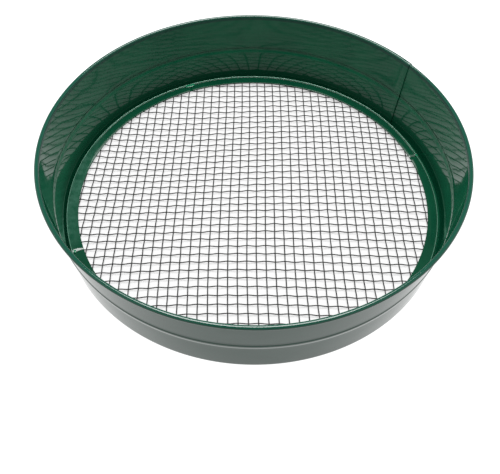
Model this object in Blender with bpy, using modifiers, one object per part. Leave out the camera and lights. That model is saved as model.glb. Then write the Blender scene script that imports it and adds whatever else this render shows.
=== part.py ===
"""Garden soil sieve: a tapered sheet-steel band with a wired rolled rim, a woven wire
mesh resting on the band's turned-in foot, and a clamping ring in four segments on top.

The origin is the centre of the foot, on the surface that the sieve stands on. Metres, +Z up.
"""

import math

import bmesh
import bpy

# Overall size
RIM_RADIUS = 0.185
HEIGHT = 0.0755
FOOT_RADIUS = 0.1742
SHEET = 0.0006
GAP = 0.0003

# Rolled rim with its wire core
ROLL_RADIUS = 0.0019
ROLL_END = math.radians(-122)
ROLL_STEPS = 10
ROLL_LINE = ROLL_RADIUS - SHEET / 2
ROLL_CENTRE_RADIUS = RIM_RADIUS - ROLL_RADIUS
ROLL_CENTRE_HEIGHT = HEIGHT - ROLL_RADIUS
RIM_WIRE_RADIUS = ROLL_RADIUS - SHEET - GAP

# Wall, stiffening bead and turned-in foot
WALL_LEAN = math.atan2(ROLL_CENTRE_RADIUS - ROLL_LINE - FOOT_RADIUS + SHEET / 2, ROLL_CENTRE_HEIGHT)
BEAD_TOP = 0.0392
BEAD_BOTTOM = 0.0324
BEAD_FLANK = 0.0026
BEAD_DEPTH = 0.0005
FOOT_BEND = 0.0011
FOOT_BEND_STEPS = 3
FOOT_INNER_RADIUS = 0.1642

# Lap where the two ends of the band meet
LAP_START = math.radians(35)
LAP_WIDTH = math.radians(5)
LAP_BOTTOM = 0.0062
LAP_TOP = HEIGHT - 2 * ROLL_RADIUS
LAP_OFFSET = SHEET * 0.9

# Woven mesh: straight wires in two layers, turned a little in the band
WIRE_RADIUS = 0.0005
MESH_PITCH = 0.00825
MESH_RADIUS = 0.1675
MESH_TURN = math.radians(0.3)
LONG_WIRE_OFFSET = 0.0026
CROSS_WIRE_OFFSET = 0.0032
WIRES_EACH_SIDE = 20
LONG_WIRE_HEIGHT = SHEET + GAP + WIRE_RADIUS
CROSS_WIRE_HEIGHT = LONG_WIRE_HEIGHT + GAP + 2 * WIRE_RADIUS
EDGE_HOOP_RADIUS = 0.1668
EDGE_HOOP_WIRE = 0.0003

# Clamping ring: it is a little smaller than the foot, and sits a little forward of its centre
RING_INNER_RADIUS = 0.1622
RING_BOTTOM = CROSS_WIRE_HEIGHT + WIRE_RADIUS + GAP
RING_OUTER_RADIUS = 0.1721
RING_FORWARD = 0.0014
RING_LIP = 0.0010
RING_LINE = RING_BOTTOM + SHEET / 2
RING_JOINTS = {
    "clamp_ring_back": (18.0, 115.0),
    "clamp_ring_left": (115.0, 205.0),
    "clamp_ring_front": (205.0, 295.0),
    "clamp_ring_right": (295.0, 378.0),
}
RING_JOINT_GAP = 0.0004

# Tacks over the four joints of the clamping ring: angle in degrees, length, width and height
TACK_SIZES = {
    "tack_back_right": (18.0, 0.0030, 0.0020, 0.0009),
    "tack_back_left": (115.0, 0.0090, 0.0034, 0.0009),
    "tack_front_left": (205.0, 0.0030, 0.0020, 0.0009),
    "tack_front_right": (295.0, 0.0030, 0.0020, 0.0009),
}
TACK_RADIUS = 0.1699

# Segments around the sieve
TURN_STEPS = 72
STEP_ANGLE = math.tau / TURN_STEPS
MERGE = 0.0001
SMOOTH_LIMIT = math.radians(35)


def clear_scene():
    for item in list(bpy.data.objects):
        bpy.data.objects.remove(item, do_unlink=True)


def new_collection(name):
    collection = bpy.data.collections.new(name)
    bpy.context.scene.collection.children.link(collection)
    return collection


def new_material(name, colour, metallic, roughness):
    material = bpy.data.materials.new(name)
    material.use_nodes = True
    shader = material.node_tree.nodes["Principled BSDF"]
    shader.inputs["Base Color"].default_value = (*colour, 1.0)
    shader.inputs["Metallic"].default_value = metallic
    shader.inputs["Roughness"].default_value = roughness
    return material


def green_paint(name):
    return new_material(name + "_paint", (0.008, 0.075, 0.040), 0.0, 0.2)


def bare_steel(name):
    return new_material(name + "_steel", (0.20, 0.20, 0.19), 0.9, 0.4)


def place(name, data, material, collection):
    """Link new data as a named object with its own material."""
    item = bpy.data.objects.new(name, data)
    data.materials.append(material)
    collection.objects.link(item)
    return item


def profile_mesh(name, points):
    """A line of (radius, height) points in the XZ plane, joined by edges."""
    mesh = bpy.data.meshes.new(name)
    vertices = [(radius, 0.0, height) for radius, height in points]
    edges = [(i, i + 1) for i in range(len(points) - 1)]
    mesh.from_pydata(vertices, edges, [])
    return mesh


def turn(item, sweep=math.tau, steps=TURN_STEPS):
    """Turn an object's profile about Z."""
    screw = item.modifiers.new("turn", "SCREW")
    screw.angle = sweep
    screw.steps = steps
    screw.render_steps = steps
    screw.use_merge_vertices = True
    screw.merge_threshold = MERGE
    screw.use_smooth_shade = True


def thicken(item):
    """Give an open surface the thickness of the sheet, half on each side."""
    solid = item.modifiers.new("sheet", "SOLIDIFY")
    solid.thickness = SHEET
    solid.offset = 0.0
    solid.use_even_offset = True


def shade_round(item):
    item.data.shade_smooth()
    item.data.set_sharp_from_angle(angle=SMOOTH_LIMIT)


def wall_radius(height):
    """Radius of the middle of the sheet, with the bead pressed outwards."""
    plain = FOOT_RADIUS - SHEET / 2 + height * math.tan(WALL_LEAN)
    share = min(BEAD_TOP - height, height - BEAD_BOTTOM) / BEAD_FLANK
    return plain + BEAD_DEPTH * min(max(share, 0.0), 1.0)


def bead_points(inset=0.0):
    """Points down the bead, moved inwards by inset."""
    heights = (BEAD_TOP, BEAD_TOP - BEAD_FLANK, BEAD_BOTTOM + BEAD_FLANK, BEAD_BOTTOM)
    return [(wall_radius(height) - inset, height) for height in heights]


def roll_points():
    """Points round the rolled rim, from its free end over the top to the wall."""
    start = ROLL_END
    end = math.pi - WALL_LEAN
    points = []
    for i in range(ROLL_STEPS + 1):
        angle = start + (end - start) * i / ROLL_STEPS
        radius = ROLL_CENTRE_RADIUS + ROLL_LINE * math.cos(angle)
        points.append((radius, ROLL_CENTRE_HEIGHT + ROLL_LINE * math.sin(angle)))
    return points


def foot_points():
    """Points round the bend at the foot and in along the flat."""
    bend_height = SHEET / 2 + FOOT_BEND
    centre = wall_radius(bend_height) - FOOT_BEND
    points = []
    for i in range(FOOT_BEND_STEPS + 1):
        angle = -math.pi / 2 * i / FOOT_BEND_STEPS
        radius = centre + FOOT_BEND * math.cos(angle)
        points.append((radius, bend_height + FOOT_BEND * math.sin(angle)))
    points.append((FOOT_INNER_RADIUS, SHEET / 2))
    return points


def make_lap(cutters):
    """The strip of double sheet inside the band, where its ends overlap."""
    points = [(wall_radius(LAP_TOP) - LAP_OFFSET, LAP_TOP)]
    points += bead_points(LAP_OFFSET)
    points.append((wall_radius(LAP_BOTTOM) - LAP_OFFSET, LAP_BOTTOM))
    lap = place("lap_strip", profile_mesh("lap_strip", points), green_paint("lap_strip"), cutters)
    turn(lap, LAP_WIDTH, round(LAP_WIDTH / STEP_ANGLE))
    thicken(lap)
    lap.rotation_euler.z = LAP_START
    lap.hide_render = True
    lap.display_type = "WIRE"
    return lap


def make_wall_band(parts, cutters):
    points = roll_points() + bead_points() + foot_points()
    band = place("wall_band", profile_mesh("wall_band", points), green_paint("wall_band"), parts)
    turn(band)
    thicken(band)
    union = band.modifiers.new("lap", "BOOLEAN")
    union.operation = "UNION"
    union.object = make_lap(cutters)
    return band


def make_rim_wire(parts):
    """The steel wire that the rim is rolled round."""
    bpy.ops.mesh.primitive_torus_add(
        location=(0.0, 0.0, ROLL_CENTRE_HEIGHT),
        major_radius=ROLL_CENTRE_RADIUS,
        minor_radius=RIM_WIRE_RADIUS,
        major_segments=TURN_STEPS,
        minor_segments=8,
    )
    wire = bpy.context.object
    wire.name = "rim_wire"
    wire.data.materials.append(bare_steel("rim_wire"))
    for collection in list(wire.users_collection):
        collection.objects.unlink(wire)
    parts.objects.link(wire)
    shade_round(wire)


def wire_offsets(first_offset):
    """Distances from the centre of the wires of one layer that reach inside the mesh's edge."""
    offsets = []
    for k in range(-WIRES_EACH_SIDE, WIRES_EACH_SIDE + 1):
        offset = first_offset + k * MESH_PITCH
        if abs(offset) < MESH_RADIUS - 3 * WIRE_RADIUS:
            offsets.append(offset)
    return offsets


def make_wire(name, offset, across, height, collection, material):
    """One straight wire, along Y or, when across is true, along X."""
    half_length = math.sqrt(MESH_RADIUS**2 - offset**2)
    curve = bpy.data.curves.new(name, "CURVE")
    curve.dimensions = "3D"
    curve.bevel_depth = WIRE_RADIUS
    curve.bevel_resolution = 2
    curve.use_fill_caps = True
    spline = curve.splines.new("POLY")
    spline.points.add(1)
    for point, side in zip(spline.points, (-1, 1)):
        along = side * half_length
        point.co = (along, offset, height, 1.0) if across else (offset, along, height, 1.0)
    wire = place(name, curve, material, collection)
    wire.rotation_euler.z = MESH_TURN
    return wire


def curve_to_mesh(item, collection):
    """Replace a curve object by its mesh, with its end caps welded on."""
    bpy.context.view_layer.update()
    evaluated = item.evaluated_get(bpy.context.evaluated_depsgraph_get())
    mesh = bpy.data.meshes.new_from_object(evaluated)
    work = bmesh.new()
    work.from_mesh(mesh)
    bmesh.ops.remove_doubles(work, verts=work.verts, dist=MERGE / 10)
    work.to_mesh(mesh)
    work.free()
    solid = bpy.data.objects.new(item.name + "_solid", mesh)
    solid.matrix_world = item.matrix_world
    collection.objects.link(solid)
    bpy.data.objects.remove(item, do_unlink=True)
    return solid


def make_long_wires(parts):
    """The lower layer: one object for each wire, from front to back."""
    for number, offset in enumerate(wire_offsets(LONG_WIRE_OFFSET), start=1):
        name = f"long_wire_{number:02d}"
        make_wire(name, offset, False, LONG_WIRE_HEIGHT, parts, bare_steel(name))


def make_cross_wires(parts, cutters):
    """The upper layer: its wires are joined at their ends by a thin hoop under the clamping ring."""
    bpy.ops.mesh.primitive_torus_add(
        location=(0.0, 0.0, CROSS_WIRE_HEIGHT),
        major_radius=EDGE_HOOP_RADIUS,
        minor_radius=EDGE_HOOP_WIRE,
        major_segments=TURN_STEPS,
        minor_segments=6,
    )
    hoop = bpy.context.object
    hoop.name = "cross_wires"
    steel = bare_steel("cross_wires")
    hoop.data.materials.append(steel)
    for collection in list(hoop.users_collection):
        collection.objects.unlink(hoop)
    parts.objects.link(hoop)
    strands = bpy.data.collections.new("cross_wire_strands")
    cutters.children.link(strands)
    for number, offset in enumerate(wire_offsets(CROSS_WIRE_OFFSET), start=1):
        strand = make_wire(f"strand_{number:02d}", offset, True, CROSS_WIRE_HEIGHT, strands, steel)
        solid = curve_to_mesh(strand, strands)
        solid.hide_render = True
        solid.display_type = "WIRE"
    union = hoop.modifiers.new("strands", "BOOLEAN")
    union.operation = "UNION"
    union.operand_type = "COLLECTION"
    union.collection = strands
    shade_round(hoop)


def make_clamp_ring(parts):
    """Four flat segments with a low lip against the wall."""
    points = [
        (RING_INNER_RADIUS, RING_LINE),
        (RING_OUTER_RADIUS - RING_LIP, RING_LINE),
        (RING_OUTER_RADIUS - RING_LIP * 0.3, RING_LINE + RING_LIP * 0.3),
        (RING_OUTER_RADIUS, RING_LINE + RING_LIP),
    ]
    gap_angle = RING_JOINT_GAP / RING_OUTER_RADIUS
    for name, (start, end) in RING_JOINTS.items():
        sweep = math.radians(end - start) - gap_angle
        segment = place(name, profile_mesh(name, points), green_paint(name), parts)
        turn(segment, sweep, math.ceil(sweep / STEP_ANGLE))
        thicken(segment)
        segment.rotation_euler.z = math.radians(start) + gap_angle / 2
        segment.location.y = -RING_FORWARD


def make_tacks(parts):
    """Low weld tacks that hold the ends of the ring segments."""
    for name, (angle, length, width, height) in TACK_SIZES.items():
        mesh = bpy.data.meshes.new(name)
        work = bmesh.new()
        bmesh.ops.create_uvsphere(work, u_segments=12, v_segments=8, radius=0.5)
        bmesh.ops.scale(work, vec=(width, length, height), verts=work.verts)
        work.to_mesh(mesh)
        work.free()
        tack = place(name, mesh, green_paint(name), parts)
        turned = math.radians(angle)
        top = RING_LINE + SHEET / 2
        tack.location = (
            TACK_RADIUS * math.cos(turned),
            TACK_RADIUS * math.sin(turned) - RING_FORWARD,
            top + GAP + height / 2,
        )
        tack.rotation_euler.z = turned
        shade_round(tack)


def main():
    clear_scene()
    parts = new_collection("soil_sieve")
    cutters = new_collection("cutters")
    make_wall_band(parts, cutters)
    make_rim_wire(parts)
    make_long_wires(parts)
    make_cross_wires(parts, cutters)
    make_clamp_ring(parts)
    make_tacks(parts)


main()
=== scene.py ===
"""The looks of a garden soil sieve: a lapped and rolled band in glossy green paint, a clamping ring
in four segments with its tacks, and a woven wire mesh.

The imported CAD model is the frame. Metres, +Z up, the centre of the foot at the origin.
"""

import math

import bmesh
import bpy
from mathutils import Matrix, Vector, noise


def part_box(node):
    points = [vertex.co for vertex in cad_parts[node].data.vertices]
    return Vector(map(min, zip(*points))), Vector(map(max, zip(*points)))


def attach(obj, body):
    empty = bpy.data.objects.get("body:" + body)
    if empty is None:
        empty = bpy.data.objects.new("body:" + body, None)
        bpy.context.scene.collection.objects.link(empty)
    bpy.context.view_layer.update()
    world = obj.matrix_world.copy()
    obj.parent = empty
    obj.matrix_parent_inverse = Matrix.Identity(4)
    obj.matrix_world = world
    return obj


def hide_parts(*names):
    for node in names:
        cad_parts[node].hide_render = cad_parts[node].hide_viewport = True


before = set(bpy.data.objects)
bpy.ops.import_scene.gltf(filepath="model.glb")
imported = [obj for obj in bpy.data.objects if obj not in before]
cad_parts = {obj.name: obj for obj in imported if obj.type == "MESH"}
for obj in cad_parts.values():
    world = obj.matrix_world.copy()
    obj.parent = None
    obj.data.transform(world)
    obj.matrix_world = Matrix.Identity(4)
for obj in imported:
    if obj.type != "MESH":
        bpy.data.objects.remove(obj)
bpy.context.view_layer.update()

# Sizes that the frame gives
RIM_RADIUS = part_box("wall_band")[1][0]
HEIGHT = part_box("wall_band")[1][2]
RIM_WIRE_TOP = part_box("rim_wire")[1][2]
RIM_WIRE_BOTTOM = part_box("rim_wire")[0][2]
RING_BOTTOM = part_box("clamp_ring_back")[0][2]
CROSS_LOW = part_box("cross_wires")[0][2]
CROSS_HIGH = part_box("cross_wires")[1][2]
LONG_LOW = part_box("long_wire_20")[0][2]

# Band
SHEET = 0.0006
ROLL_CENTRE_HEIGHT = (RIM_WIRE_TOP + RIM_WIRE_BOTTOM) / 2
ROLL_RADIUS = HEIGHT - ROLL_CENTRE_HEIGHT
ROLL_CENTRE_RADIUS = RIM_RADIUS - ROLL_RADIUS
ROLL_LINE = ROLL_RADIUS - SHEET / 2
ROLL_END = math.radians(-115)
ROLL_STEPS = 18
UNDER_ROLL = HEIGHT - 2 * ROLL_RADIUS
FOOT_RADIUS = 0.1742
FOOT_INNER_RADIUS = 0.1642
FOOT_BEND = 0.0011
FOOT_BEND_STEPS = 6
WALL_SLOPE = (ROLL_CENTRE_RADIUS - ROLL_LINE - FOOT_RADIUS + SHEET / 2) / ROLL_CENTRE_HEIGHT
WALL_STEPS = 10
BEAD_TOP = 0.0392
BEAD_BOTTOM = 0.0324
BEAD_FLANK_ABOVE = 0.0018
BEAD_FLANK_BELOW = 0.0042
BEAD_DEPTH = 0.0005
BEAD_STEPS = 20
COLUMN = math.radians(1.25)
EDGE_ROUNDING = SHEET * 0.25
EDGE_ANGLE = math.radians(60)

# Slight unevenness of the band's wall
WALL_WAVE = 0.00022
WAVES_ROUND = 1.9
WAVES_UP = 18.0

# The band's two ends pass over each other here: the inner end starts at SEAM and lifts a little
SEAM = math.radians(35)
LAP = math.radians(5)
LAP_SHIFT = 0.00032
LAP_FADE = math.radians(26)
LAP_MARGIN = math.radians(1)
LAP_LIFT = 0.0005
LIFT_WIDTH = math.radians(1.6)

# Clamping ring
RING_INNER_RADIUS = 0.1622
RING_OUTER_RADIUS = 0.1721
RING_FORWARD = 0.0014
RING_LINE = RING_BOTTOM + SHEET / 2
RING_LIP = 0.0012

# The angles of the joints at each segment's start and end, in degrees
RING_JOINTS = {
    "clamp_ring_back": (18.0, 115.0),
    "clamp_ring_left": (115.0, 205.0),
    "clamp_ring_front": (205.0, 295.0),
    "clamp_ring_right": (295.0, 378.0),
}

# The gap at a joint, the bend up to the lip, the ring's waves, and where the ring is narrower
RING_GAP = 0.0002
RING_LIP_BEND = 0.0006
RING_BEND_STEPS = 5
RING_WAVE = 0.0001
WAVES_ALONG_RING = 3
RING_NARROWING = 0.0020
NARROWING_AT = math.radians(18)
NARROWING_FADE_BACK = math.radians(30)
NARROWING_FADE_FRONT = math.radians(75)

# Weld tacks: half sizes outwards, along the ring and upwards
TACK_HALF_SIZE = (0.0011, 0.0016, 0.0006)
LONG_TACK_HALF_SIZE = (0.0021, 0.0050, 0.0006)
TACK_LUMPS = 0.12
TACK_SQUARENESS = 0.6

# The hollow across the long tack, as shares of its half sizes
HOLLOW_DEPTH = 0.8
HOLLOW_PLACE = -0.35
HOLLOW_REACH = 0.35
HOLLOW_WIDTH = 0.16

# Woven mesh
WIRE_RADIUS = (CROSS_HIGH - CROSS_LOW) / 2
MESH_HEIGHT = (LONG_LOW + CROSS_HIGH) / 2
MESH_PITCH = 0.00825
MESH_RADIUS = 0.1675
LONG_WIRE_OFFSET = 0.0026
CROSS_WIRE_OFFSET = 0.0032
WIRES_EACH_SIDE = 20
STEPS_PER_CELL = 8
CROSS_CRIMP = WIRE_RADIUS * 1.02
LONG_CRIMP = WIRE_RADIUS * 1.00
PULL_ROUNDS = 4
END_ROUNDS = 8

# Each wire strays by itself: a slow wander and a quick tremble, and their waves to the metre
WANDER = 0.00022
WANDER_SCALE = 22.0
TREMBLE = 0.00008
TREMBLE_SCALE = 75.0

# How the weave was pulled out of square as it was clamped, in mm. Powers of the place along the
# sieve, about -1 at the front and 1 at the back, rise from left to right in each line.
MILLIMETRE = 0.001
PULL_SCALE = 0.16
CROSS_BOW = (-0.2, -5.0, -3.5, 5.5)
CROSS_SKEW = (9.5, 13.5, -7.0, -14.0)
CROSS_CUP = (-6.0, 3.0)
CROSS_TWIST = (-5.0, -12.0)
CROSS_END = (3.5,)
LONG_BOW = (0.3, 0.0, 1.8, -2.8)
LONG_SPREAD = (0.7,)
LONG_CUP = (0.0, 0.9)
LONG_TWIST = (-1.0,)

# Camera
CAMERA_DISTANCE = 0.6071
CAMERA_ELEVATION = math.radians(49.04)
CAMERA_ROLL = math.radians(1.01)
CAMERA_LENS = 46.06
CAMERA_SHIFT = (-0.0068, -0.0849)
SENSOR_WIDTH = 36.0

# Studio: the sky's glow by height and to the sides, the floor's glow, and one broad lamp
WORLD_CEILING = 0.25
WORLD_HORIZON = 0.65
WORLD_CEILING_FROM = 0.6
WORLD_SIDES = 0.5
WORLD_SIDES_RANGE = (0.25, 0.60)
FLOOR_SIZE = 6.0
FLOOR_DROP = 0.0001
# Painted shade: the floor glows less inside the sieve's foot than outside it
FLOOR_GLOW_INSIDE = 0.64
FLOOR_GLOW_OUTSIDE = 1.05
FLOOR_DARK = (0.09, 0.09, 0.09)
FLOOR_LIGHT = (0.11, 0.11, 0.11)
FLOOR_TONE_SCALE = 1.5
FLOOR_ROUGHNESS = 0.8
LAMP_PLACE = (0.0, 0.25, 1.60)
LAMP_SIZE = (1.2, 1.2)
LAMP_POWER = 104.0

# Most values of a noise texture lie in this range
NOISE_RANGE = (0.3, 0.7)

# Green paint: its colours, the scales of its patterns, and how deep they are
PAINT_DARK = (0.0015, 0.042, 0.020)
PAINT_LIGHT = (0.0034, 0.057, 0.027)
# Painted shade: the darker colour of the wall near its foot
PAINT_CORNER_SHADE = (0.0010, 0.025, 0.0115)
# Painted shade: the darker colour of the outside of the sieve and of the rolled rim
PAINT_OUTSIDE_SHADE = (0.0022, 0.027, 0.0165)
PAINT_WORN = (0.024, 0.105, 0.068)
PAINT_ROUGHNESS = (0.045, 0.065)
CLOUD_SCALE = 22.0
RIPPLE_SCALE = 45.0
RIPPLE_DEPTH = 0.0004
PEEL_SCALE = 420.0
PEEL_DEPTH = 0.00003
BUMP_STRENGTH = 0.25
SPECK_SCALE = 900.0
SPECK_RANGE = (0.72, 0.80)
SPECK_STRENGTH = 0.25
EDGE_RANGE = (0.56, 0.72)
EDGE_WEAR = 0.5
OUTSIDE_RANGE = (0.03, 0.10)
# The rolled rim's painted shade fades in over this height
ROLL_FADE = 0.4 * ROLL_RADIUS
# Painted shade: the ring's paint is the wall's paint made darker by the next factor
RING_SHADE = 0.39
TACK_SHADE = 1.3

# Painted shade: the wall's colour darkens below CORNER_HEIGHT, towards the foot, and is at its darkest
# at this share of that height
CORNER_HEIGHT = 0.022
CORNER_DARKEST = 0.4

# Painted reflection, a pale mottled sheen on the left of the ring: its colour and strength, the X
# where it starts and the X where it is full, and its mottled pattern
PAINTED_SHEEN = (0.032, 0.078, 0.058)
SHEEN_STRENGTH = 0.34
SHEEN_SIDE = (-0.150, -0.166)
SHEEN_SCALE = 160.0
SHEEN_RANGE = (0.35, 0.62)
SHEEN_THINNEST = 0.25

# Painted highlight along the ring's lip: from this height up, faint at the front and strong at the
# back
LIP_HIGHLIGHT = (0.10, 0.21, 0.155)
LIP_HIGHLIGHT_FROM = RING_LINE + RING_LIP * 0.45
HIGHLIGHT_HEIGHT = 0.0005
HIGHLIGHT_ALONG = (0.02, 0.14)
HIGHLIGHT_FAINT = 0.3
HIGHLIGHT_STRONG = 0.9

# Mesh wire and the rim's core wire
WIRE_DARK = (0.003, 0.003, 0.003)
WIRE_LIGHT = (0.007, 0.008, 0.007)
WIRE_ROUGHNESS = (0.38, 0.55)
WIRE_METALLIC = 0.35
WIRE_PATCH_SCALE = 60.0
WIRE_PIT_SCALE = 1500.0
WIRE_PIT_DEPTH = 0.00004
WIRE_PIT_STRENGTH = 0.3
CORE_DARK = (0.25, 0.25, 0.24)
CORE_LIGHT = (0.42, 0.42, 0.41)
CORE_ROUGHNESS = (0.3, 0.5)
CORE_PATCH_SCALE = 80.0
DULL_IOR = 1.34


# ---------------------------------------------------------------- materials


def new_material(name):
    """A node material's tree and its Principled BSDF."""
    material = bpy.data.materials.new(name)
    material.use_nodes = True
    tree = material.node_tree
    return material, tree, tree.nodes["Principled BSDF"]


def object_position(tree):
    """The place on the piece, in the sieve's own coordinates where the piece is not moved."""
    return tree.nodes.new("ShaderNodeTexCoord").outputs["Object"]


def coordinate(tree, where, axis):
    """One coordinate of a place."""
    split = tree.nodes.new("ShaderNodeSeparateXYZ")
    tree.links.new(where, split.inputs[0])
    return split.outputs[axis]


def add_noise(tree, where, scale, detail=4.0, roughness=0.55):
    """A cloudy pattern of so many waves to the metre."""
    node = tree.nodes.new("ShaderNodeTexNoise")
    node.inputs["Scale"].default_value = scale
    node.inputs["Detail"].default_value = detail
    node.inputs["Roughness"].default_value = roughness
    tree.links.new(where, node.inputs["Vector"])
    return node.outputs["Fac"]


def add_range(tree, value, low, high, to_low, to_high):
    """A value moved from one range to another, and kept inside it."""
    node = tree.nodes.new("ShaderNodeMapRange")
    node.inputs["From Min"].default_value = low
    node.inputs["From Max"].default_value = high
    node.inputs["To Min"].default_value = to_low
    node.inputs["To Max"].default_value = to_high
    tree.links.new(value, node.inputs["Value"])
    return node.outputs["Result"]


def add_mix(tree, factor, first, second):
    """Mix of two colours; each is a colour or another node's output."""
    node = tree.nodes.new("ShaderNodeMix")
    node.data_type = "RGBA"
    tree.links.new(factor, node.inputs["Factor"])
    for socket, value in ((node.inputs[6], first), (node.inputs[7], second)):
        if isinstance(value, tuple):
            socket.default_value = (*value, 1.0)
        else:
            tree.links.new(value, socket)
    return node.outputs[2]


def add_math(tree, operation, first, second):
    """A sum or product of two outputs."""
    node = tree.nodes.new("ShaderNodeMath")
    node.operation = operation
    tree.links.new(first, node.inputs[0])
    tree.links.new(second, node.inputs[1])
    return node.outputs[0]


def add_bump(tree, height, strength, distance, normal=None):
    """A surface direction tilted by a pattern, on top of another bump if one is given."""
    node = tree.nodes.new("ShaderNodeBump")
    node.inputs["Strength"].default_value = strength
    node.inputs["Distance"].default_value = distance
    tree.links.new(height, node.inputs["Height"])
    if normal is not None:
        tree.links.new(normal, node.inputs["Normal"])
    return node.outputs["Normal"]


def green_paint(name, shade=1.0, sheen=0.0, highlight_from=None, corner=None):
    """Glossy sprayed paint: faint orange peel, cloudy thickness, specks of dust, thin on edges.

    A painted reflection, a pale mottled sheen, lies towards the left side when its strength is
    above 0. Above the given height a painted highlight lightens the colour. Painted shade darkens
    the colour below the height corner, on the outside of the sieve and on the rolled rim.
    """
    material, tree, shader = new_material(name)
    where = object_position(tree)
    cloud = add_noise(tree, where, CLOUD_SCALE, 3.0)
    peel = add_noise(tree, where, PEEL_SCALE, 2.0)
    ripple = add_noise(tree, where, RIPPLE_SCALE, 1.0)
    speck = add_noise(tree, where, SPECK_SCALE, 1.0)

    dark = tuple(channel * shade for channel in PAINT_DARK)
    light = tuple(channel * shade for channel in PAINT_LIGHT)
    colour = add_mix(tree, add_range(tree, cloud, *NOISE_RANGE, 0.0, 1.0), dark, light)
    edge = tree.nodes.new("ShaderNodeNewGeometry").outputs["Pointiness"]
    wear_and_highlight = add_range(tree, edge, *EDGE_RANGE, 0.0, EDGE_WEAR)
    colour = add_mix(tree, wear_and_highlight, colour, PAINT_WORN)
    dust = add_range(tree, speck, *SPECK_RANGE, 0.0, SPECK_STRENGTH)
    colour = add_mix(tree, dust, colour, PAINT_WORN)
    height = coordinate(tree, where, "Z")
    # Painted shade: darker towards the foot of the wall
    if corner is not None:
        low = add_range(tree, height, corner, corner * CORNER_DARKEST, 0.0, 1.0)
        colour = add_mix(tree, low, colour, PAINT_CORNER_SHADE)
    # Painted shade: the outside of the sieve and the rolled rim take a darker colour
    colour = add_mix(tree, facing_out(tree, where), colour, PAINT_OUTSIDE_SHADE)
    rolled = add_range(tree, height, UNDER_ROLL - ROLL_FADE, UNDER_ROLL, 0.0, 1.0)
    colour = add_mix(tree, rolled, colour, PAINT_OUTSIDE_SHADE)
    # Painted reflection: a pale mottled sheen on the left of the ring
    if sheen:
        colour = add_painted_sheen(tree, where, sheen, colour)
    # Painted highlight along the top of the ring's lip
    if highlight_from is not None:
        colour = add_painted_highlight(tree, where, highlight_from, colour)
    tree.links.new(colour, shader.inputs["Base Color"])

    gloss = add_range(tree, cloud, *NOISE_RANGE, *PAINT_ROUGHNESS)
    tree.links.new(gloss, shader.inputs["Roughness"])
    shader.inputs["IOR"].default_value = DULL_IOR
    normal = add_bump(tree, ripple, BUMP_STRENGTH, RIPPLE_DEPTH)
    normal = add_bump(tree, peel, BUMP_STRENGTH, PEEL_DEPTH, normal)
    tree.links.new(normal, shader.inputs["Normal"])
    return material


def facing_out(tree, where):
    """1 where the surface faces away from the sieve's axis, 0 where it faces the inside."""
    dot = tree.nodes.new("ShaderNodeVectorMath")
    dot.operation = "DOT_PRODUCT"
    tree.links.new(where, dot.inputs[0])
    tree.links.new(tree.nodes.new("ShaderNodeNewGeometry").outputs["Normal"], dot.inputs[1])
    return add_range(tree, dot.outputs["Value"], *OUTSIDE_RANGE, 0.0, 1.0)


def add_painted_sheen(tree, where, sheen, colour):
    """Painted reflection: a mottled pale sheen over a colour, strongest on the left edge."""
    side = add_range(tree, coordinate(tree, where, "X"), *SHEEN_SIDE, 0.0, sheen)
    blotch = add_noise(tree, where, SHEEN_SCALE, 4.0)
    mottle = add_range(tree, blotch, *SHEEN_RANGE, SHEEN_THINNEST, 1.0)
    return add_mix(tree, add_math(tree, "MULTIPLY", side, mottle), colour, PAINTED_SHEEN)


def add_painted_highlight(tree, where, height, colour):
    """Painted highlight above a height, over the next half a millimetre, most at the back."""
    wear_and_highlight = add_range(tree, coordinate(tree, where, "Z"), height, height + HIGHLIGHT_HEIGHT, 0.0, 1.0)
    place = coordinate(tree, where, "Y")
    back = add_range(tree, place, *HIGHLIGHT_ALONG, HIGHLIGHT_FAINT, HIGHLIGHT_STRONG)
    return add_mix(tree, add_math(tree, "MULTIPLY", wear_and_highlight, back), colour, LIP_HIGHLIGHT)


def drawn_wire():
    """Dull drawn steel wire, with darker and lighter stretches and fine pits."""
    material, tree, shader = new_material("mesh_steel")
    where = object_position(tree)
    patch = add_noise(tree, where, WIRE_PATCH_SCALE, 4.0)
    pits = add_noise(tree, where, WIRE_PIT_SCALE, 2.0)
    colour = add_mix(tree, add_range(tree, patch, *NOISE_RANGE, 0.0, 1.0), WIRE_DARK, WIRE_LIGHT)
    tree.links.new(colour, shader.inputs["Base Color"])
    dullness = add_range(tree, patch, *NOISE_RANGE, *WIRE_ROUGHNESS)
    tree.links.new(dullness, shader.inputs["Roughness"])
    shader.inputs["Metallic"].default_value = WIRE_METALLIC
    shader.inputs["IOR"].default_value = DULL_IOR
    normal = add_bump(tree, pits, WIRE_PIT_STRENGTH, WIRE_PIT_DEPTH)
    tree.links.new(normal, shader.inputs["Normal"])
    return material


def core_steel():
    """The rim's core wire, bright under the rolled edge."""
    material, tree, shader = new_material("core_steel")
    where = object_position(tree)
    patch = add_noise(tree, where, CORE_PATCH_SCALE, 3.0)
    tree.links.new(add_mix(tree, patch, CORE_DARK, CORE_LIGHT), shader.inputs["Base Color"])
    dullness = add_range(tree, patch, 0.0, 1.0, *CORE_ROUGHNESS)
    tree.links.new(dullness, shader.inputs["Roughness"])
    shader.inputs["Metallic"].default_value = 1.0
    return material


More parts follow.
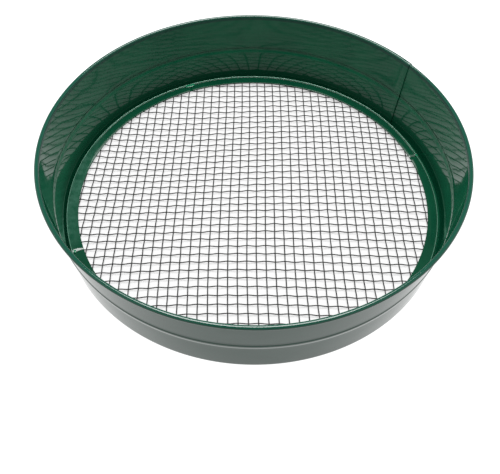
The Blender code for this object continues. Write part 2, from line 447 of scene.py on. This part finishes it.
def floor_white():
    """A white table that glows, with painted shade where the sieve stands on it: it glows less inside
    the foot.
    """
    material, tree, shader = new_material("floor_white")
    where = object_position(tree)
    tone = add_noise(tree, where, FLOOR_TONE_SCALE, 2.0)
    tree.links.new(add_mix(tree, tone, FLOOR_DARK, FLOOR_LIGHT), shader.inputs["Base Color"])
    shader.inputs["Roughness"].default_value = FLOOR_ROUGHNESS
    shader.inputs["Specular IOR Level"].default_value = 0.0
    shader.inputs["Emission Color"].default_value = (1.0, 1.0, 1.0, 1.0)
    reach = tree.nodes.new("ShaderNodeVectorMath")
    reach.operation = "LENGTH"
    tree.links.new(where, reach.inputs[0])
    foot = (FOOT_INNER_RADIUS, FOOT_RADIUS)
    glow = add_range(tree, reach.outputs["Value"], *foot, FLOOR_GLOW_INSIDE, FLOOR_GLOW_OUTSIDE)
    tree.links.new(glow, shader.inputs["Emission Strength"])
    return material


# ---------------------------------------------------------------- helpers


def ease(value):
    """0 below 0, 1 above 1, and smooth between."""
    value = min(max(value, 0.0), 1.0)
    return value * value * (3.0 - 2.0 * value)


def mesh_object(name, mesh, material):
    """An object in the scene that shows a mesh in one material."""
    item = bpy.data.objects.new(name, mesh)
    bpy.context.scene.collection.objects.link(item)
    mesh.materials.append(material)
    return item


def sheet_from_columns(name, columns, material):
    """A surface through columns of points, given the thickness of the sheet and rounded edges."""
    mesh = bpy.data.meshes.new(name)
    work = bmesh.new()
    rows = [[work.verts.new(point) for point in column] for column in columns]
    for left, right in zip(rows, rows[1:]):
        for i in range(len(left) - 1):
            work.faces.new((left[i], right[i], right[i + 1], left[i + 1]))
    work.to_mesh(mesh)
    work.free()
    mesh.shade_smooth()
    item = mesh_object(name, mesh, material)
    solid = item.modifiers.new("sheet", "SOLIDIFY")
    solid.thickness = SHEET
    solid.offset = 0.0
    solid.use_even_offset = True
    edge = item.modifiers.new("edges", "BEVEL")
    edge.width = EDGE_ROUNDING
    edge.segments = 2
    edge.limit_method = "ANGLE"
    edge.angle_limit = EDGE_ANGLE
    return item


def finish_piece(item, slot, *nodes):
    """Put a piece on the one rigid body and hide the CAD nodes that it stands for. The slot is not
    used.
    """
    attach(item, "root")
    if nodes:
        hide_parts(*nodes)


# ---------------------------------------------------------------- band


def lap_shift(angle):
    """Outwards shift of the sheet near its two ends, so that they pass over each other."""
    inner = 1.0 - ease((angle - SEAM - LAP - LAP_MARGIN) / LAP_FADE)
    outer = 1.0 - ease((SEAM + math.tau - LAP_MARGIN - angle) / LAP_FADE)
    return LAP_SHIFT * (outer - inner)


def lap_lift(angle, height):
    """How far the free inner end springs inwards between the rim and the foot."""
    end = 1.0 - ease((angle - SEAM) / LIFT_WIDTH)
    across = math.sin(math.pi * min(max(height / ROLL_CENTRE_HEIGHT, 0.0), 1.0))
    return LAP_LIFT * end * across


def wall_wave(angle, height):
    """Slight hand-made unevenness of the rolled sheet, none at the rim and the foot."""
    place = Vector((math.cos(angle) * WAVES_ROUND, math.sin(angle) * WAVES_ROUND, height * WAVES_UP))
    across = math.sin(math.pi * min(max(height / HEIGHT, 0.0), 1.0))
    return WALL_WAVE * across * noise.noise(place)


def wall_radius(angle, height):
    """Radius of the middle of the sheet, with the bead pressed outwards."""
    radius = FOOT_RADIUS - SHEET / 2 + height * WALL_SLOPE
    radius += lap_shift(angle) - lap_lift(angle, height) + wall_wave(angle, height)
    share = min((BEAD_TOP - height) / BEAD_FLANK_ABOVE, (height - BEAD_BOTTOM) / BEAD_FLANK_BELOW)
    return radius + BEAD_DEPTH * ease(share)


def roll_section(angle):
    """(radius, height) points round the rolled rim, from its free end to the wall."""
    line = ROLL_LINE - lap_shift(angle)
    end = math.pi - math.atan(WALL_SLOPE)
    points = []
    for i in range(ROLL_STEPS + 1):
        turn = ROLL_END + (end - ROLL_END) * i / ROLL_STEPS
        height = ROLL_CENTRE_HEIGHT + line * math.sin(turn)
        points.append((ROLL_CENTRE_RADIUS + line * math.cos(turn), height))
    return points


def wall_section(angle):
    """Points down the wall between the rim and the bend at the foot."""
    stretches = (
        (ROLL_CENTRE_HEIGHT - ROLL_RADIUS, BEAD_TOP, WALL_STEPS),
        (BEAD_TOP, BEAD_BOTTOM, BEAD_STEPS),
        (BEAD_BOTTOM, SHEET / 2 + FOOT_BEND, WALL_STEPS),
    )
    points = []
    for top, bottom, steps in stretches:
        for i in range(steps):
            height = top + (bottom - top) * i / steps
            points.append((wall_radius(angle, height), height))
    return points


def foot_section(angle):
    """Points round the bend at the foot and in along the flat."""
    bend_height = SHEET / 2 + FOOT_BEND
    centre = wall_radius(angle, bend_height) - FOOT_BEND
    points = []
    for i in range(FOOT_BEND_STEPS + 1):
        turn = -math.pi / 2 * i / FOOT_BEND_STEPS
        points.append((centre + FOOT_BEND * math.cos(turn), bend_height + FOOT_BEND * math.sin(turn)))
    points.append(((centre + FOOT_INNER_RADIUS) / 2, SHEET / 2))
    points.append((FOOT_INNER_RADIUS, SHEET / 2))
    return points


def around(angle, section):
    """A section's (radius, height) points at an angle round the sieve."""
    return [(radius * math.cos(angle), radius * math.sin(angle), height) for radius, height in section]


def make_band(material):
    """The strip of sheet, once round and on over its own start."""
    sweep = math.tau + LAP
    count = round(sweep / COLUMN)
    columns = []
    for i in range(count + 1):
        angle = SEAM + sweep * i / count
        section = roll_section(angle) + wall_section(angle) + foot_section(angle)
        columns.append(around(angle, section))
    band = sheet_from_columns("band", columns, material)
    finish_piece(band, "green_paint", "wall_band")


# ---------------------------------------------------------------- clamping ring


def ring_section(outer, lift):
    """Points from the inner edge out to the lip that stands up beside the wall."""
    bend = RING_LIP_BEND
    points = [
        (RING_INNER_RADIUS, RING_LINE + lift),
        ((RING_INNER_RADIUS + outer) / 2, RING_LINE + lift),
        (outer - 2 * bend, RING_LINE + lift),
    ]
    for i in range(1, RING_BEND_STEPS + 1):
        turn = math.pi / 2 * i / RING_BEND_STEPS
        height = RING_LINE + lift + bend * (1 - math.cos(turn))
        points.append((outer - bend + bend * math.sin(turn), height))
    points.append((outer, RING_LINE + lift + RING_LIP))
    return points


def ring_narrowing(angle):
    """How much narrower the ring is towards the joint at its right."""
    away = (angle - NARROWING_AT + math.pi) % math.tau - math.pi
    fade = NARROWING_FADE_BACK if away > 0.0 else NARROWING_FADE_FRONT
    return RING_NARROWING * (1.0 - ease(abs(away) / fade))


def make_ring_segment(name, start, end, material):
    """One segment of the ring, from one joint to the next."""
    gap = RING_GAP / RING_OUTER_RADIUS
    first = math.radians(start) + gap / 2
    last = math.radians(end) - gap / 2
    count = math.ceil((last - first) / COLUMN)
    columns = []
    for i in range(count + 1):
        angle = first + (last - first) * i / count
        outer = RING_OUTER_RADIUS - ring_narrowing(angle)
        place = (math.cos(angle) * WAVES_ALONG_RING, math.sin(angle) * WAVES_ALONG_RING, 5.0)
        wave = noise.noise(Vector(place))
        column = around(angle, ring_section(outer, RING_WAVE * wave))
        columns.append([(x, y - RING_FORWARD, z) for x, y, z in column])
    segment = sheet_from_columns(name + "_formed", columns, material)
    finish_piece(segment, "green_paint", name)


def make_clamp_ring(material):
    """The ring's four segments."""
    for name, (start, end) in RING_JOINTS.items():
        make_ring_segment(name, start, end, material)


def make_tack(name, material, long):
    """A low rounded weld tack at its CAD node's place; the long one has a hollow across it."""
    low, high = (Vector(corner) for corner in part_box(name))
    centre = (low + high) / 2
    turned = math.atan2(centre.y, centre.x)
    mesh = bpy.data.meshes.new(name)
    work = bmesh.new()
    bmesh.ops.create_icosphere(work, subdivisions=4, radius=1.0)
    size = LONG_TACK_HALF_SIZE if long else TACK_HALF_SIZE
    for vert in work.verts:
        push = 1.0 + TACK_LUMPS * noise.noise(vert.co * 2.0 + centre * 300.0)
        across = vert.co.copy()
        for axis in range(2):
            across[axis] = math.copysign(abs(across[axis]) ** TACK_SQUARENESS, across[axis])
        if long:
            outwards = across.x / HOLLOW_REACH
            sideways = (across.y - HOLLOW_PLACE) / HOLLOW_WIDTH
            across.z *= 1.0 - HOLLOW_DEPTH * math.exp(-(outwards**2) - sideways**2)
        vert.co = Vector(across[axis] * size[axis] * push for axis in range(3))
    work.to_mesh(mesh)
    work.free()
    mesh.shade_smooth()
    tack = mesh_object(name + "_bead", mesh, material)
    tack.location = centre
    tack.rotation_euler.z = turned
    finish_piece(tack, "green_paint", name)


def make_tacks(material):
    """A tack at each joint of the ring; the one at the back left is the long one."""
    for name in ("tack_back_right", "tack_back_left", "tack_front_left", "tack_front_right"):
        make_tack(name, material, name == "tack_back_left")


# ---------------------------------------------------------------- woven mesh


def polynomial(powers, value):
    """A sum of rising powers of a value, each by its amount."""
    total = 0.0
    for power, amount in enumerate(powers):
        total += amount * value**power
    return total


def pull(x, y, *lines):
    """A stretch of the weave: each line is a polynomial along it, for the next power across it."""
    across, along = x / PULL_SCALE, y / PULL_SCALE
    return MILLIMETRE * polynomial([polynomial(line, along) for line in lines], across)


def cross_pull(x, y):
    """How far back the wires that run from side to side are pulled."""
    return pull(x, y, CROSS_BOW, CROSS_SKEW, CROSS_CUP, CROSS_TWIST, CROSS_END)


def long_pull(x, y):
    """How far right the wires that run from front to back are pulled."""
    return pull(x, y, LONG_BOW, LONG_SPREAD, LONG_CUP, LONG_TWIST)


def stray(along, k, seed):
    """The unevenness of one wire by itself: a slow wander and a quick tremble."""
    slow = noise.noise(Vector((along * WANDER_SCALE, k * 7.3, seed)))
    quick = noise.noise(Vector((along * TREMBLE_SCALE, k * 3.1, seed + 20.0)))
    return WANDER * slow + TREMBLE * quick


def cross_point(k, along):
    """A point of a wire that runs from side to side, over and under the others."""
    offset = CROSS_WIRE_OFFSET + k * MESH_PITCH + stray(along, k, 1.0)
    y = offset
    for _ in range(PULL_ROUNDS):
        y = offset + cross_pull(along, y)
    crossing = (along - LONG_WIRE_OFFSET - long_pull(along, y)) / MESH_PITCH
    return Vector((along, y, MESH_HEIGHT - CROSS_CRIMP * math.cos(math.pi * (crossing + k))))


def long_point(k, along):
    """A point of a wire that runs from front to back."""
    offset = LONG_WIRE_OFFSET + k * MESH_PITCH + stray(along, k, 5.0)
    x = offset
    for _ in range(PULL_ROUNDS):
        x = offset + long_pull(x, along)
    crossing = (along - CROSS_WIRE_OFFSET - cross_pull(x, along)) / MESH_PITCH
    return Vector((x, along, MESH_HEIGHT + LONG_CRIMP * math.cos(math.pi * (crossing + k))))


def wire_end(point_at, across_axis, k, side):
    """How far along a wire reaches before it meets the edge of the mesh."""
    along = 0.0
    for _ in range(END_ROUNDS):
        across = point_at(k, along)[across_axis]
        along = side * math.sqrt(max(MESH_RADIUS**2 - across**2, 0.0))
    return along


def make_wire(name, k, point_at, across_axis, material):
    """One round wire of the weave, through its points from end to end."""
    first = wire_end(point_at, across_axis, k, -1.0)
    last = wire_end(point_at, across_axis, k, 1.0)
    count = math.ceil((last - first) / MESH_PITCH * STEPS_PER_CELL)
    curve = bpy.data.curves.new(name, "CURVE")
    curve.dimensions = "3D"
    curve.bevel_depth = WIRE_RADIUS
    curve.bevel_resolution = 2
    curve.use_fill_caps = True
    curve.materials.append(material)
    spline = curve.splines.new("POLY")
    spline.points.add(count)
    spline.use_smooth = True
    for i, point in enumerate(spline.points):
        point.co = (*point_at(k, first + (last - first) * i / count), 1.0)
    wire = bpy.data.objects.new(name, curve)
    bpy.context.scene.collection.objects.link(wire)
    return wire


def wire_numbers(offset):
    """The numbers of the wires, counted from the middle one, that cross the mesh."""
    reach = MESH_RADIUS - 3 * WIRE_RADIUS
    numbers = range(-WIRES_EACH_SIDE, WIRES_EACH_SIDE + 1)
    return [k for k in numbers if abs(offset + k * MESH_PITCH) < reach]


def make_mesh(material):
    """The wires of both layers; each long wire stands for a CAD node of its own."""
    for number, k in enumerate(wire_numbers(LONG_WIRE_OFFSET), start=1):
        wire = make_wire(f"woven_long_{number:02d}", k, long_point, 0, material)
        finish_piece(wire, "mesh_steel", f"long_wire_{number:02d}")
    for number, k in enumerate(wire_numbers(CROSS_WIRE_OFFSET), start=1):
        wire = make_wire(f"woven_cross_{number:02d}", k, cross_point, 1, material)
        finish_piece(wire, "mesh_steel", "cross_wires")


# ---------------------------------------------------------------- studio


def make_floor():
    """The table under the sieve, a hair below its foot."""
    bpy.ops.mesh.primitive_plane_add(size=FLOOR_SIZE, location=(0.0, 0.0, -FLOOR_DROP))
    floor = bpy.context.object
    floor.name = "floor"
    floor.data.materials.append(floor_white())


def make_world():
    """A studio that is brightest at the horizon and to the left and right."""
    world = bpy.data.worlds.new("studio")
    world.use_nodes = True
    background = world.node_tree.nodes["Background"]
    background.inputs["Color"].default_value = (1.0, 1.0, 1.0, 1.0)
    tree = world.node_tree
    facing = tree.nodes.new("ShaderNodeTexCoord").outputs["Generated"]
    height = coordinate(tree, facing, "Z")
    glow = add_range(tree, height, 0.0, WORLD_CEILING_FROM, WORLD_HORIZON, WORLD_CEILING)
    off_centre = tree.nodes.new("ShaderNodeMath")
    off_centre.operation = "ABSOLUTE"
    tree.links.new(coordinate(tree, facing, "X"), off_centre.inputs[0])
    sides = add_range(tree, off_centre.outputs[0], *WORLD_SIDES_RANGE, 0.0, WORLD_SIDES)
    tree.links.new(add_math(tree, "ADD", glow, sides), background.inputs["Strength"])
    bpy.context.scene.world = world


def make_lamp():
    """A broad lamp above and a little behind, turned to the sieve."""
    lamp = bpy.data.lights.new("overhead", "AREA")
    lamp.shape = "RECTANGLE"
    lamp.size, lamp.size_y = LAMP_SIZE
    lamp.energy = LAMP_POWER
    item = bpy.data.objects.new("overhead", lamp)
    bpy.context.scene.collection.objects.link(item)
    item.location = LAMP_PLACE
    item.rotation_euler = (-Vector(LAMP_PLACE)).to_track_quat("-Z", "Y").to_euler()


def make_camera():
    """A camera in front of the sieve and above it, turned to its foot's centre and shifted."""
    camera = bpy.data.cameras.new("camera")
    camera.lens = CAMERA_LENS
    camera.sensor_width = SENSOR_WIDTH
    camera.shift_x, camera.shift_y = CAMERA_SHIFT
    item = bpy.data.objects.new("camera", camera)
    bpy.context.scene.collection.objects.link(item)
    away = Vector((0.0, -math.cos(CAMERA_ELEVATION), math.sin(CAMERA_ELEVATION)))
    upright = Matrix.Rotation(math.pi / 2 - CAMERA_ELEVATION, 4, "X")
    item.matrix_world = (
        Matrix.Translation(away * CAMERA_DISTANCE) @ upright @ Matrix.Rotation(CAMERA_ROLL, 4, "Z")
    )
    bpy.context.scene.camera = item


def paint_core_wire():
    """The rim's core wire stays the CAD's own, in bright steel."""
    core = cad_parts["rim_wire"]
    core.data.materials.clear()
    core.data.materials.append(core_steel())


def main():
    bpy.context.scene.view_settings.view_transform = "Standard"
    make_band(green_paint("green_paint", corner=CORNER_HEIGHT))
    # The ring's paint: darker by painted shade, with a painted reflection on its left and a painted
    # highlight along its lip
    ring_paint = green_paint(
        "ring_paint", shade=RING_SHADE, sheen=SHEEN_STRENGTH, highlight_from=LIP_HIGHLIGHT_FROM
    )
    make_clamp_ring(ring_paint)
    make_tacks(green_paint("tack_paint", shade=TACK_SHADE))
    make_mesh(drawn_wire())
    paint_core_wire()
    make_floor()
    make_world()
    make_lamp()
    make_camera()


main()
